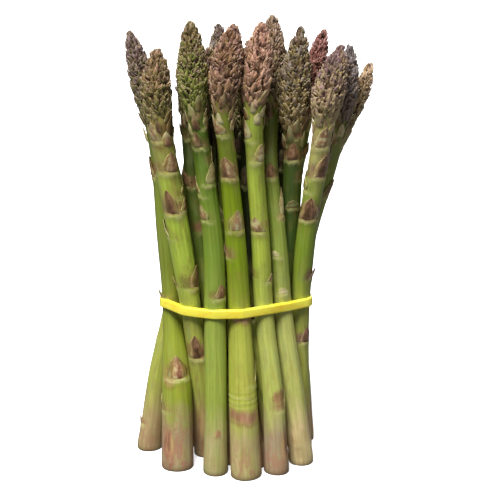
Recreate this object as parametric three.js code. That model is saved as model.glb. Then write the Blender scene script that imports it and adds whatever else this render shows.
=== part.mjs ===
// A tied bunch of fresh green asparagus that stands upright on its cut ends.
// Millimetres, +Z up. The front of the bunch faces -Y and +X is to the right.
// Every spear grew as one piece, so each is one solid from its cut end to its pointed tip.
// One rubber band, pulled tight, holds the spears together at the waist of the bunch.
import * as THREE from "three";

// Heights at which each spear's course is given
const FOOT_HEIGHT = 0;
const KNEE_HEIGHT = 40;
const WAIST_HEIGHT = 80;
const SHOULDER_HEIGHT = 120;
const NECK_HEIGHT = 160;
const HEAD_HEIGHT = 195;

// The rubber band
const BAND_HEIGHT = 84.5;
const BAND_WIDTH = 4.4;
const BAND_THICKNESS = 1.0;
const BAND_EDGE_ROUNDING = 0.25;
const BAND_CLEARANCE = 0.3;
const BAND_ARC_STEPS = 24;

// The spears' surfaces
const SPEAR_SIDES = 10;
const STALK_RING_SPACING = 14;
const HEAD_RING_SPACING = 6;
const HEAD_RINGS_START = 166;
const TOP_RING_SHARE = 0.35;
const CUT_EDGE_HEIGHT = 1.2;
const CUT_EDGE_SHARE = 0.93;

// Shape of a head, as shares of its length
const SWELL_END = 0.36;
const TAPER_START = 0.42;
const TAPER_FULLNESS = 0.75;

// How spears that would cut into each other are moved apart
const SPEAR_GAP = 0.4;
const SETTLING_ROUNDS = 400;
const FIRM_ROUNDS = 60;
const PUSH_SHARE = 0.5;
const BEND_SMOOTHING = 0.3;

// What a spear has where its own entry gives nothing else
const USUAL_GIRTH = { foot: 5.7, knee: 5.0, waist: 4.3, shoulder: 4.3, neck: 4.1, head: 6.2 };
const USUAL_LENGTH = 36;
const USUAL_POINT = 2.2;
const USUAL_GIVE = 1;

// Each spear's middle line: [x, y] at each height, and [x, y, z] at the tip.
// girth is its half-width there, length is its head's length, and point is how blunt the head is.
// give is how readily it moves aside for its neighbours: those at the front hardly do.
const FRONT_SPEARS = [
  {
    foot: [-36.5, -13], knee: [-36.8, -7], waist: [-39, 1], shoulder: [-41.5, -2],
    neck: [-44, -7], head: [-50, -10], tip: [-57, -12, 225],
    girth: { foot: 8.2, knee: 7.4, waist: 4.8, shoulder: 4.5, neck: 4.0, head: 6.2 },
    length: 48, point: 2.0, give: 0.05,
  },
  {
    foot: [-22.5, 2], knee: [-24, -3], waist: [-28.8, -7.5], shoulder: [-34, -13],
    neck: [-40, -19], head: [-44, -24], tip: [-43.5, -25, 219],
    girth: { foot: 6.2, knee: 5.6, waist: 5.3, shoulder: 5.8, neck: 5.6, head: 7.0 },
    length: 38, point: 2.2, give: 0.05,
  },
  {
    foot: [-17.5, -20], knee: [-17, -17], waist: [-17.5, -13], shoulder: [-18, -15],
    neck: [-22, -20], head: [-26.5, -26], tip: [-27.5, -27, 232],
    girth: { foot: 6.5, knee: 5.6, waist: 5.4, shoulder: 5.0, neck: 4.3, head: 6.6 },
    length: 46, point: 2.4, give: 0.05,
  },
  {
    foot: [-2, -24], knee: [-3.5, -18.5], waist: [-5, -11.5], shoulder: [-7, -16],
    neck: [-10, -22], head: [-12.5, -28], tip: [-7.5, -28, 231],
    girth: { foot: 7.8, knee: 6.9, waist: 5.6, shoulder: 5.1, neck: 4.4, head: 7.4 },
    length: 42, point: 2.4, give: 0.05,
  },
  {
    foot: [13.5, -19], knee: [11.5, -14], waist: [7, -7.5], shoulder: [5, -12],
    neck: [2.5, -18], head: [2, -24], tip: [5.5, -25, 231],
    girth: { foot: 6.3, knee: 5.3, waist: 5.0, shoulder: 4.7, neck: 4.4, head: 7.3 },
    length: 43, point: 2.4, give: 0.05,
  },
  {
    foot: [26, -8], knee: [21.5, -5.5], waist: [16.5, -3], shoulder: [13.5, -5.5],
    neck: [9.5, -6], head: [10.5, -4], tip: [10.5, -2, 230.5],
    girth: { foot: 6.1, knee: 5.5, waist: 4.7, shoulder: 4.4, neck: 4.1, head: 6.7 },
    length: 44, point: 2.4, give: 0.05,
  },
  {
    foot: [26.5, 5], knee: [25.5, 5], waist: [25.5, 3.5], shoulder: [28, -3],
    neck: [33, -12], head: [37, -19], tip: [42.5, -19, 219.5],
    girth: { foot: 5.9, knee: 5.1, waist: 4.6, shoulder: 4.9, neck: 4.6, head: 7.8 },
    length: 40, point: 1.9, give: 0.05,
  },
];

// Spears of the second rank, seen between and behind those at the front
const SECOND_SPEARS = [
  {
    foot: [-52.5, 10], knee: [-47.5, 11], waist: [-39, 10.5], shoulder: [-34, 13],
    neck: [-28, 5], head: [-21, -8], tip: [-19.5, -9.5, 216.5],
    girth: { foot: 6.5, knee: 5.1, waist: 4.5, shoulder: 4.4, neck: 4.1, head: 5.3 },
    length: 36, point: 2.2, give: 0.1,
  },
  {
    foot: [-8.5, -9], knee: [-13.5, -5.5], waist: [-20, -2], shoulder: [-25.5, -3],
    neck: [-28.5, -8], head: [-29.5, -14.5], tip: [-30.5, -14.5, 219.5],
    girth: { foot: 5.6, knee: 5.0, waist: 4.3, shoulder: 4.3, neck: 4.2, head: 5.1 },
    length: 36, point: 2.2, give: 0.2,
  },
  {
    foot: [3, -11], knee: [-3.5, -6.5], waist: [-10.5, -1.5], shoulder: [-11, -2.5],
    neck: [-12, -2], head: [-14, 2], tip: [-15, 2, 225.5],
    girth: { foot: 5.8, knee: 5.0, waist: 4.3, shoulder: 4.3, neck: 4.0, head: 6.0 },
    length: 40, point: 2.2, give: 0.3,
  },
  {
    foot: [14.5, -6], knee: [7, -4], waist: [-1, -1.5], shoulder: [-0.5, -3.5],
    neck: [-0.5, -8], head: [0.5, -10], tip: [0.5, -10.5, 220],
    girth: { foot: 5.8, knee: 5.0, waist: 4.3, shoulder: 4.3, neck: 4.1, head: 5.8 },
    length: 38, point: 2.2, give: 0.3,
  },
  {
    foot: [18, 15], knee: [17, 13.5], waist: [16, 7], shoulder: [20, 3],
    neck: [21, -8], head: [21, -14], tip: [24, -14, 227],
    girth: { foot: 5.7, knee: 5.0, waist: 4.4, shoulder: 4.3, neck: 4.5, head: 7.4 },
    length: 56, point: 2.0, give: 0.1,
  },
  {
    foot: [-1, 25], knee: [5.5, 19], waist: [12.5, 16], shoulder: [18.5, 12.5],
    neck: [23.5, 5], head: [29, 1], tip: [35.5, 1, 223],
    girth: { foot: 5.7, knee: 5.0, waist: 4.3, shoulder: 4.3, neck: 4.0, head: 5.6 },
    length: 44, point: 2.2, give: 0.2,
  },
  {
    foot: [27.5, 21], knee: [25.5, 19.5], waist: [22.5, 13], shoulder: [29.5, 6.5],
    neck: [39.5, -1.5], head: [46, -6.5], tip: [47.5, -7, 217],
    girth: { foot: 5.6, knee: 5.0, waist: 4.3, shoulder: 4.3, neck: 4.0, head: 5.6 },
    length: 40, point: 2.2, give: 0.1,
  },
  {
    foot: [10, 28.5], knee: [14.5, 25], waist: [22.5, 22], shoulder: [30, 15.5],
    neck: [41.5, 8.5], head: [55, 4], tip: [58.5, 4, 206],
    girth: { foot: 5.6, knee: 5.0, waist: 4.2, shoulder: 4.2, neck: 3.6, head: 4.9 },
    length: 38, point: 2.2, give: 0.1,
  },
];

// Spears in the middle and at the back, which the others hide from the front
const REAR_SPEARS = [
  {
    foot: [-37.5, 3.5], knee: [-35, 4], waist: [-29.5, 3], shoulder: [-34.5, 0.5],
    neck: [-43.5, 3], tip: [-48.5, 5, 206],
  },
  {
    foot: [-40, 17], knee: [-36, 16.5], waist: [-30.5, 13], shoulder: [-34, 20],
    neck: [-43, 19], tip: [-49, 20, 200],
  },
  {
    foot: [-10.5, 4], knee: [-16.5, 6.5], waist: [-20.5, 8],
    neck: [-20.5, 10], tip: [-26.5, 3, 211],
  },
  {
    foot: [-27, 14], knee: [-25, 15.5], waist: [-21, 17.5],
    neck: [-27, 18], tip: [-27, 18, 205],
  },
  {
    foot: [-19, 24], knee: [-14, 20], waist: [-11.5, 17],
    neck: [-14, 15], tip: [-16, 14, 206],
  },
  {
    foot: [1, 2], knee: [-6.5, 5], waist: [-11, 8],
    neck: [-5, 5], tip: [-3.5, 3, 207],
  },
  {
    foot: [-10, 15.5], knee: [-4.5, 17], waist: [-1.5, 18.5],
    neck: [-4, 20], tip: [-5, 20, 207],
  },
  {
    foot: [1.5, 13.5], knee: [2, 10], waist: [-1.5, 9.5],
    neck: [5.5, 11.5], tip: [7, 12, 212],
  },
  {
    foot: [12.5, 7], knee: [11, 6.5], waist: [7.5, 3],
    neck: [14.5, 6], tip: [18.5, 11, 202],
  },
];

const SPEAR_GREENS = [0x7f9a3c, 0x8aa544, 0x6f9440, 0x93a64a, 0x86a03e, 0x7c9646];
const SPEAR_ROUGHNESS = 0.55;
const BAND_YELLOW = 0xf4dc1c;
const BAND_ROUGHNESS = 0.45;

function spearSkin(index) {
  return new THREE.MeshStandardMaterial({
    color: SPEAR_GREENS[index % SPEAR_GREENS.length],
    roughness: SPEAR_ROUGHNESS,
    metalness: 0,
  });
}

function bandRubber() {
  return new THREE.MeshStandardMaterial({
    color: BAND_YELLOW,
    roughness: BAND_ROUGHNESS,
    metalness: 0,
  });
}

// A smooth curve through values given at rising heights
function smoothThrough(heights, values) {
  const last = heights.length - 1;
  const slope = (a, b) => (values[b] - values[a]) / (heights[b] - heights[a]);
  const slopes = heights.map((_, i) => slope(Math.max(i - 1, 0), Math.min(i + 1, last)));
  return (z) => {
    let i = 0;
    while (i < last - 1 && z > heights[i + 1]) i += 1;
    const span = heights[i + 1] - heights[i];
    const t = THREE.MathUtils.clamp((z - heights[i]) / span, 0, 1);
    const rise = t * t * (3 - 2 * t);
    const leave = t * (1 - t) * (1 - t) * span * slopes[i];
    const arrive = t * t * (t - 1) * span * slopes[i + 1];
    return values[i] * (1 - rise) + values[i + 1] * rise + leave + arrive;
  };
}

// The heights a spear is given at, from its foot to its tip
function courseOf(spear) {
  const stations = [
    [FOOT_HEIGHT, spear.foot],
    [KNEE_HEIGHT, spear.knee],
    [WAIST_HEIGHT, spear.waist],
    [SHOULDER_HEIGHT, spear.shoulder],
    [NECK_HEIGHT, spear.neck],
    [HEAD_HEIGHT, spear.head],
    [spear.tip[2], spear.tip],
  ].filter(([, place]) => place);
  const heights = stations.map(([height]) => height);
  return {
    x: smoothThrough(heights, stations.map(([, place]) => place[0])),
    y: smoothThrough(heights, stations.map(([, place]) => place[1])),
  };
}

// Half-width at any height: the stalk thins upward, then the head swells and tapers to a point
function girthOf(spear) {
  const girth = { ...USUAL_GIRTH, ...spear.girth };
  const stalk = smoothThrough(
    [FOOT_HEIGHT, KNEE_HEIGHT, WAIST_HEIGHT, SHOULDER_HEIGHT, NECK_HEIGHT],
    [girth.foot, girth.knee, girth.waist, girth.shoulder, girth.neck],
  );
  const tip = spear.tip[2];
  const length = spear.length ?? USUAL_LENGTH;
  const point = spear.point ?? USUAL_POINT;
  return (z) => {
    const along = (z - (tip - length)) / length;
    const swell = THREE.MathUtils.smoothstep(along, 0, SWELL_END);
    const taper = THREE.MathUtils.clamp((along - TAPER_START) / (1 - TAPER_START), 0, 1);
    const width = THREE.MathUtils.lerp(stalk(Math.min(z, NECK_HEIGHT)), girth.head, swell);
    return width * (1 - taper ** point) ** TAPER_FULLNESS;
  };
}

// Heights of the rings that every spear is built from, so that neighbours meet ring to ring
function ringHeights(top) {
  const heights = [];
  for (let z = 0; z < HEAD_RINGS_START; z += STALK_RING_SPACING) heights.push(z);
  for (let z = HEAD_RINGS_START; z < top; z += HEAD_RING_SPACING) heights.push(z);
  return heights;
}

function plannedRings(spear) {
  const course = courseOf(spear);
  const girth = girthOf(spear);
  const place = (z, radius) => ({ x: course.x(z), y: course.y(z), z, radius });
  const top = spear.tip[2];
  const rings = ringHeights(top - HEAD_RING_SPACING * TOP_RING_SHARE).map((z) => place(z, girth(z)));
  return { rings: [...rings, place(top, 0)], give: spear.give ?? USUAL_GIVE };
}

// Moves two rings apart along the line between their middles, until the gap is kept
function partRings(one, other, giveOne, giveOther) {
  const dx = other.x - one.x;
  const dy = other.y - one.y;
  const distance = Math.hypot(dx, dy);
  const short = one.radius + other.radius + SPEAR_GAP - distance;
  if (short <= 0) return;
  const push = (short * PUSH_SHARE) / (distance * (giveOne + giveOther));
  one.x -= dx * push * giveOne;
  one.y -= dy * push * giveOne;
  other.x += dx * push * giveOther;
  other.y += dy * push * giveOther;
}

// Spreads what has moved along the spear, since a stalk bends and has no kinks
function easeBends(spear, planned) {
  for (const axis of ["x", "y"]) {
    const moved = spear.rings.map((ring, i) => ring[axis] - planned.rings[i][axis]);
    spear.rings.forEach((ring, i) => {
      const below = moved[Math.max(i - 1, 0)];
      const above = moved[Math.min(i + 1, moved.length - 1)];
      ring[axis] += BEND_SMOOTHING * ((below + above) / 2 - moved[i]);
    });
  }
}

// Lets the planned spears settle against each other as they do when the bunch is tied
function settle(plans) {
  const spears = plans.map((plan) => ({ ...plan, rings: plan.rings.map((ring) => ({ ...ring })) }));
  for (let round = 0; round < SETTLING_ROUNDS; round += 1) {
    for (let i = 0; i < spears.length; i += 1) {
      for (let j = i + 1; j < spears.length; j += 1) {
        const shared = Math.min(spears[i].rings.length, spears[j].rings.length) - 1;
        for (let k = 0; k < shared; k += 1) {
          partRings(spears[i].rings[k], spears[j].rings[k], spears[i].give, spears[j].give);
        }
      }
    }
    if (round < SETTLING_ROUNDS - FIRM_ROUNDS) {
      spears.forEach((spear, i) => easeBends(spear, plans[i]));
    }
  }
  return spears;
}

// Turns the outline about the middle line, then carries each ring to its place
function spearGeometry(rings) {
  const foot = rings[0];
  const cut = { ...foot, radius: foot.radius * CUT_EDGE_SHARE };
  const edge = { ...foot, z: CUT_EDGE_HEIGHT };
  const outline = [{ ...foot, radius: 0 }, cut, edge, ...rings.slice(1)];
  const profile = outline.map((ring) => new THREE.Vector2(ring.radius, ring.z));
  const geometry = new THREE.LatheGeometry(profile, SPEAR_SIDES);
  geometry.rotateX(Math.PI / 2);
  const position = geometry.getAttribute("position");
  for (let i = 0; i < position.count; i += 1) {
    const ring = outline[i % outline.length];
    position.setX(i, position.getX(i) + ring.x);
    position.setY(i, position.getY(i) + ring.y);
  }
  return geometry;
}

function ringAt(spear, z) {
  const above = spear.rings.findIndex((ring) => ring.z >= z);
  const [low, high] = [spear.rings[above - 1], spear.rings[above]];
  const t = (z - low.z) / (high.z - low.z);
  const between = (key) => THREE.MathUtils.lerp(low[key], high[key], t);
  return { x: between("x"), y: between("y"), radius: between("radius") };
}

// The shortest loop round a set of points, in counterclockwise order
function hull(points) {
  const sorted = [...points].sort((a, b) => a.x - b.x || a.y - b.y);
  const turns = (a, b, c) => (b.x - a.x) * (c.y - a.y) - (b.y - a.y) * (c.x - a.x);
  const half = (ordered) => {
    const chain = [];
    for (const point of ordered) {
      while (chain.length > 1 && turns(chain.at(-2), chain.at(-1), point) <= 0) chain.pop();
      chain.push(point);
    }
    return chain.slice(0, -1);
  };
  return [...half(sorted), ...half(sorted.reverse())];
}

// The loop that a tight band makes round all the spears, standing off them by a distance
function loopRound(spears, standOff) {
  const points = [];
  for (const z of [BAND_HEIGHT - BAND_WIDTH / 2, BAND_HEIGHT + BAND_WIDTH / 2]) {
    for (const spear of spears) {
      const { x, y, radius } = ringAt(spear, z);
      for (let step = 0; step < BAND_ARC_STEPS; step += 1) {
        const angle = (2 * Math.PI * step) / BAND_ARC_STEPS;
        const reach = radius + standOff;
        points.push(new THREE.Vector2(x + reach * Math.cos(angle), y + reach * Math.sin(angle)));
      }
    }
  }
  return hull(points);
}

function bandGeometry(spears) {
  const inner = BAND_CLEARANCE + BAND_EDGE_ROUNDING;
  const outer = BAND_CLEARANCE + BAND_THICKNESS - BAND_EDGE_ROUNDING;
  const shape = new THREE.Shape(loopRound(spears, outer));
  shape.holes.push(new THREE.Path(loopRound(spears, inner)));
  const geometry = new THREE.ExtrudeGeometry(shape, {
    depth: BAND_WIDTH - 2 * BAND_EDGE_ROUNDING,
    bevelThickness: BAND_EDGE_ROUNDING,
    bevelSize: BAND_EDGE_ROUNDING,
    bevelSegments: 1,
    curveSegments: 1,
  });
  geometry.translate(0, 0, BAND_HEIGHT - BAND_WIDTH / 2 + BAND_EDGE_ROUNDING);
  return geometry;
}

function named(name, geometry, material) {
  const mesh = new THREE.Mesh(geometry, material);
  mesh.name = name;
  return mesh;
}

// Stands the bunch with the middle of its footprint over the origin
function centred(bunch) {
  const box = new THREE.Box3().setFromObject(bunch);
  const middle = box.getCenter(new THREE.Vector3());
  bunch.position.set(-middle.x, -middle.y, -box.min.z);
  const root = new THREE.Group();
  root.add(bunch);
  root.updateMatrixWorld(true);
  return root;
}

function asparagusBunch() {
  const plans = [...FRONT_SPEARS, ...SECOND_SPEARS, ...REAR_SPEARS].map(plannedRings);
  const spears = settle(plans);
  const bunch = new THREE.Group();
  spears.forEach((spear, index) => {
    const name = `spear_${String(index + 1).padStart(2, "0")}`;
    bunch.add(named(name, spearGeometry(spear.rings), spearSkin(index)));
  });
  bunch.add(named("rubber_band", bandGeometry(spears), bandRubber()));
  return centred(bunch);
}

export default asparagusBunch();
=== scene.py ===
import math

import bpy
import numpy as np
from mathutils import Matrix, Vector


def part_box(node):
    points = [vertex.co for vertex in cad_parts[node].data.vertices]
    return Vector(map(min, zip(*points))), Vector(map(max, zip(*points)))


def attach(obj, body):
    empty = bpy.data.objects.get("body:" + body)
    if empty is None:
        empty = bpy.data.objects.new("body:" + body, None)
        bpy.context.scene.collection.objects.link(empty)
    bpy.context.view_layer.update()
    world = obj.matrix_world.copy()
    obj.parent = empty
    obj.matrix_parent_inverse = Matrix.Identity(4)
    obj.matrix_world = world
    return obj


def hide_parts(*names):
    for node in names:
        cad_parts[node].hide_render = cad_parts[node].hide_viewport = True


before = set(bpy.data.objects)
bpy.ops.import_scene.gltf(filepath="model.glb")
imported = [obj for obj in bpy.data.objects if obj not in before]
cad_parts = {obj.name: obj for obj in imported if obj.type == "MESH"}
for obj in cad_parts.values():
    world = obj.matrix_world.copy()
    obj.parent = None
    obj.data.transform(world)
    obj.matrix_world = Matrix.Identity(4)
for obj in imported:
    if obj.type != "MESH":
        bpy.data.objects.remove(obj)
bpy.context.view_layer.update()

MM = 0.001
SEED = 4211

# The middle line and widths of a spear. The neck is sought between two depths below the tip
LEVEL_DIGITS = 5
LEVEL_MATCH = 0.02 * MM
PROFILE_STEPS = 1600
NECK_SEARCH = (62 * MM, 12 * MM)
NECK_SEARCH_STEPS = 200
NECK_THIN_STEPS = 160
NECK_SHARE = 0.1
CORE_DEPTH = 1.5 * MM
CORE_SHRINK = 0.45

# The stalks
STALK_SIDES = 72
STALK_ROW_SPACING = 1.0 * MM
STALK_ENDS_BELOW = 0.8 * MM
STALK_POINT_BELOW = 0.3 * MM
RIDGE_COUNT = 13
RIDGE_HEIGHT = 0.035 * MM
RIDGE_WINDING = 50.0
UNEVENNESS = 0.14 * MM
HEAD_FADE = 12 * MM
FULLER_RISE = (80 * MM, 110 * MM)
GRAIN_GIRTH_HEIGHT = 50 * MM
CUT_ROUNDING = 0.6 * MM
CUT_EDGE_ROWS = (0, 0.15 * MM, 0.5 * MM)
CUT_RINGS = 6
NODE_SWELLING = 0.38 * MM
NODE_REACH_DOWN = 2.4 * MM
NODE_REACH_UP = 1.0 * MM
NODE_LINE_DROP = 0.5
NODE_LINE_HEIGHT = 0.9 * MM
NECK_BLUSH = 0.6
STAIN_EDGE = 0.8
RING_HEIGHT = 0.2 * MM
RING_SPACING = 2.6 * MM

# Scale leaves of the stalk, with gaps and the lowest place in millimetres
BRACT_BREADTH = 1.25
BRACT_LEAF = {"sink": 0.12 * MM, "proud": 0.24 * MM, "thickness": 0.3 * MM}
BRACT_LEAN = 9
BRACT_FIRST_GAP = 11.0
BRACT_GAP_GROWTH = 1.32
BRACT_LAST_GAP = 34.0
BRACT_LOWEST = 30.0
NECK_LEAVES_BELOW = 12.0 * MM
NECK_LEAVES_ABOVE = 1.5 * MM
NECK_LEAF_SPACING = 1.35 * MM

# Scale leaves and buds of the heads. Pairs are for the foot of a head and for its tip
GOLDEN_TURN = 137.508
TIP_HEIGHT = 3.8 * MM
HEAD_STARTS_BELOW = 1.0 * MM
HEAD_ENDS_BELOW = 0.9 * MM
USUAL_HEAD_RADIUS = 6.6 * MM
SCALE_LENGTHS = (6.0 * MM, 4.0 * MM)
SCALE_WIDTHS = (3.6 * MM, 2.6 * MM)
SCALE_SPACING = 0.33
SCALE_MISSING = 0.14
SCALES_ALL_FROM = 0.8
SCALE_LIFT = 0.55 * MM
SCALE_BULGE = 0.8 * MM
SCALE_LEAF = {"sink": 0.35 * MM, "proud": 0.0, "tuck": 0.7 * MM, "thickness": 0.26 * MM}
BUD_SIDES = (-1, 1, -0.4)
BUD_MISSING = 0.35
BUDS_END = 0.88
BUD_BULGE = 0.75 * MM
BUD_THICKNESS = 0.7 * MM
CRUMPLE = 0.14 * MM
LUMP_HEIGHT = 0.45 * MM
LUMP_SPACING = 8.0 * MM
LUMPS_ROUND = 4

# Rows and columns of points on the outer side of a leaf
BRACT_GRID = (12, 11)
NECK_LEAF_GRID = (9, 9)
BUD_GRID = (5, 5)
SCALE_GRID = (8, 7)
LEAF_LAST_ROW = 0.97

# The rubber band
BAND_SEGMENTS = 640
BAND_THICKNESS = 2.6 * MM
BAND_WIDTH = 4.7 * MM
BAND_CORNER = 0.75 * MM
BAND_CORNER_STEPS = 9
BAND_TANGENT_STEPS = 3

# The camera, the floor and the lights
CAMERA_TARGET = (-0.0003, 0.0006, 0.112)
CAMERA_DISTANCE = 0.85
CAMERA_PITCH = 18.0
CAMERA_LENS = 122.4
CAMERA_SENSOR = 36.0
CAMERA_CLIP = (0.05, 20.0)
SKY_LIGHT = 0.2
SKY_GLOSS = 0.3
SKY_SEEN = 1.0
FLOOR_HALF_SIDE = 6.0
FLOOR_GLOW = 0.62
KEY_LIGHT = {"turn": -24.0, "height": 60.0, "strength": 4.9, "softness": 24.0}
FILL_LIGHT = {"turn": 165.0, "height": 40.0, "strength": 2.0, "softness": 50.0}

# Colours that all spears share
FOOT_PINK = "#a56f5f"
LOWEST_BROWN = "#6e553a"
# Painted shade for the stem inside the head, among the scale leaves
HEAD_CORE_SHADE = "#1f1c10"
STAIN_BROWN = "#7a4c34"
LEAF_FOOT = "#d6d092"
NODE_LINE = "#cdc883"
HEAD_OLIVE = "#94783c"
HEAD_PLUM = "#6e4f5a"
SPECKLE = "#6d5a3c"
STREAK_BRIGHT = (1.4, 1.35, 1.4, 1)
FIBRE_DIM = (0.55, 0.62, 0.4, 1)

# Where the colours of a look stand on its ramps, and how high the stalk's ramp reaches
STALK_COLOURS = ("foot", "foot", "low", "low", "stalk", "stalk", "throat")
STALK_STOPS = (0.0, 0.09, 0.19, 0.36, 0.56, 0.7, 0.84)
STALK_RAMP_TOP = 0.2
BLUSH_STOPS = (0.36, 0.5, 0.64)
BRACT_STOPS = (0.0, 0.4, 0.7, 0.92)
SCALE_STOPS = (0.28, 0.42, 0.52, 0.62, 0.74)

# The sockets of a node that mixes colours
MIX_FIRST = 6
MIX_SECOND = 7
MIX_RESULT = 2


def srgb(text):
    """A web colour as the linear numbers that shaders use."""
    channels = [int(text[i : i + 2], 16) / 255 for i in (1, 3, 5)]
    linear = [c / 12.92 if c <= 0.04045 else ((c + 0.055) / 1.055) ** 2.4 for c in channels]
    return (*linear, 1.0)


def smooth_step(low, high, value):
    """Rises smoothly from 0 at low to 1 at high."""
    share = np.clip((value - low) / (high - low), 0, 1)
    return share * share * (3 - 2 * share)


def bell(value):
    """A soft hill that is 1 high at 0."""
    return np.exp(-(value**2))


def plateau(value):
    """A hill with a broad top, 1 high at 0, and steeper sides at -1 and 1."""
    return np.exp(-(value**4))


def between(low, high, share):
    return low + (high - low) * share


def turn_away(turns, middle):
    """Turns measured from a middle turn, as angles from -pi to pi."""
    return np.angle(np.exp(1j * (turns - middle)))


def smooth_curve(heights, values):
    """A smooth curve through values given at rising heights."""
    slopes = np.gradient(values, heights)

    def curve(z):
        z = np.clip(z, heights[0], heights[-1])
        i = np.clip(np.searchsorted(heights, z) - 1, 0, len(heights) - 2)
        span = heights[i + 1] - heights[i]
        t = (z - heights[i]) / span
        rise = t * t * (3 - 2 * t)
        leave = t * (1 - t) ** 2 * span * slopes[i]
        arrive = t * t * (t - 1) * span * slopes[i + 1]
        return values[i] * (1 - rise) + values[i + 1] * rise + leave + arrive

    return curve


class Course:
    """The middle line and half-width of one spear, read from its CAD node."""

    def __init__(self, node, tip):
        self.read_rings(node)
        self.find_neck()
        self.measure_outline(tip)

    def read_rings(self, node):
        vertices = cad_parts[node].data.vertices
        points = np.empty(len(vertices) * 3)
        vertices.foreach_get("co", points)
        points = points.reshape(-1, 3)
        levels = np.unique(np.round(points[:, 2], LEVEL_DIGITS))
        rings = [points[np.abs(points[:, 2] - level) < LEVEL_MATCH] for level in levels]
        middles = np.array([(ring.min(axis=0) + ring.max(axis=0)) / 2 for ring in rings])
        radii = np.array(
            [np.hypot(*(ring - middle)[:, :2].T).max() for ring, middle in zip(rings, middles)]
        )
        radii[0] = radii[1]
        self.x = smooth_curve(levels, middles[:, 0])
        self.y = smooth_curve(levels, middles[:, 1])
        self.radius = smooth_curve(levels, radii)
        self.top = levels[-1]

    def find_neck(self):
        """The neck is just above the thinnest place, where the head starts to swell."""
        low, high = [self.top - depth for depth in NECK_SEARCH]
        heights = np.linspace(low, high, NECK_SEARCH_STEPS)
        widths = self.radius(heights)
        thin = np.argmin(widths[:NECK_THIN_STEPS])
        swollen = between(widths[thin], widths[thin:].max(), NECK_SHARE)
        self.neck = heights[thin + np.argmax(widths[thin:] > swollen)]
        self.head_length = self.top - self.neck

    def measure_outline(self, tip):
        """The outline from the foot to the tip, which is a dome of the given height."""
        self.heights = np.linspace(0, self.top, PROFILE_STEPS)
        widths = np.maximum(self.radius(self.heights), 0)
        start = self.top - tip
        share = np.clip((self.heights - start) / tip, 0, 1)
        dome = np.sqrt(1 - share**2) * self.radius(start)
        self.widths = np.where(self.heights > start, np.maximum(widths, dome), widths)
        steps = np.hypot(np.diff(self.heights), np.diff(self.widths))
        self.path = np.concatenate([[0], np.cumsum(steps)])
        self.outward = np.gradient(self.heights, self.path)
        self.upward = -np.gradient(self.widths, self.path)

    def outline(self, distance):
        """Height, half-width and outward direction after a distance up along the skin."""
        return [
            np.interp(distance, self.path, values)
            for values in (self.heights, self.widths, self.outward, self.upward)
        ]

    def core(self, z):
        """Half-width of the solid stem, which is hidden by scale leaves in the head."""
        full = np.interp(z, self.heights, self.widths)
        hidden = smooth_step(self.neck - 1 * MM, self.neck + 0.25 * self.head_length, z)
        return np.maximum(full - hidden * CORE_DEPTH, full * (1 - CORE_SHRINK * hidden))

    def at(self, z, turn, reach):
        """Points at a height, a turn in radians and a distance from the middle line."""
        x = self.x(z) + reach * np.sin(turn)
        y = self.y(z) - reach * np.cos(turn)
        return np.stack([x, y, z + 0 * turn], axis=-1)


def add_object(name, data):
    made = bpy.data.objects.new(name, data)
    bpy.context.scene.collection.objects.link(made)
    return made


class Skin:
    """Collects the vertices, faces and painted marks of one piece."""

    MARKS = ("leaf", "along", "edge", "tone", "blush", "pale", "seam", "head")

    def __init__(self):
        self.points = []
        self.faces = []
        self.grain = []
        self.marks = {name: [] for name in self.MARKS}
        self.count = 0

    def add(self, points, faces, grain, **marks):
        """Adds points, groups of faces counted from the first of them, and marks."""
        total = len(points)
        self.points.append(points)
        self.grain.append(grain)
        for name in self.MARKS:
            self.marks[name].append(np.broadcast_to(marks.get(name, 0.0), (total,)))
        for group in faces:
            self.faces.extend((group + self.count).tolist())
        self.count += total

    def piece(self, name, material):
        """Makes one object of all that was added."""
        mesh = bpy.data.meshes.new(name)
        mesh.from_pydata(np.concatenate(self.points).tolist(), [], self.faces)
        for mark, values in self.marks.items():
            layer = mesh.attributes.new(mark, "FLOAT", "POINT")
            layer.data.foreach_set("value", np.concatenate(values).astype(np.float32))
        layer = mesh.attributes.new("grain", "FLOAT_VECTOR", "POINT")
        layer.data.foreach_set("vector", np.concatenate(self.grain).astype(np.float32).ravel())
        mesh.materials.append(material)
        mesh.shade_smooth()
        return add_object(name, mesh)


def tube_faces(rows, columns, closed=False):
    """Quads of a tube of rows of points, whose last row can join its first."""
    count = rows if closed else rows - 1
    i, j = np.meshgrid(np.arange(count), np.arange(columns), indexing="ij")
    k, m = (j + 1) % columns, (i + 1) % rows
    corners = [i * columns + j, i * columns + k, m * columns + k, m * columns + j]
    return np.stack([c.ravel() for c in corners], axis=1)


def fan_faces(first, columns, apex, outward):
    """Triangles from one row of a tube to a single point."""
    j = np.arange(columns)
    k = (j + 1) % columns
    pair = (first + j, first + k) if outward else (first + k, first + j)
    return np.stack([*pair, np.full(columns, apex)], axis=1)


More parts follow.
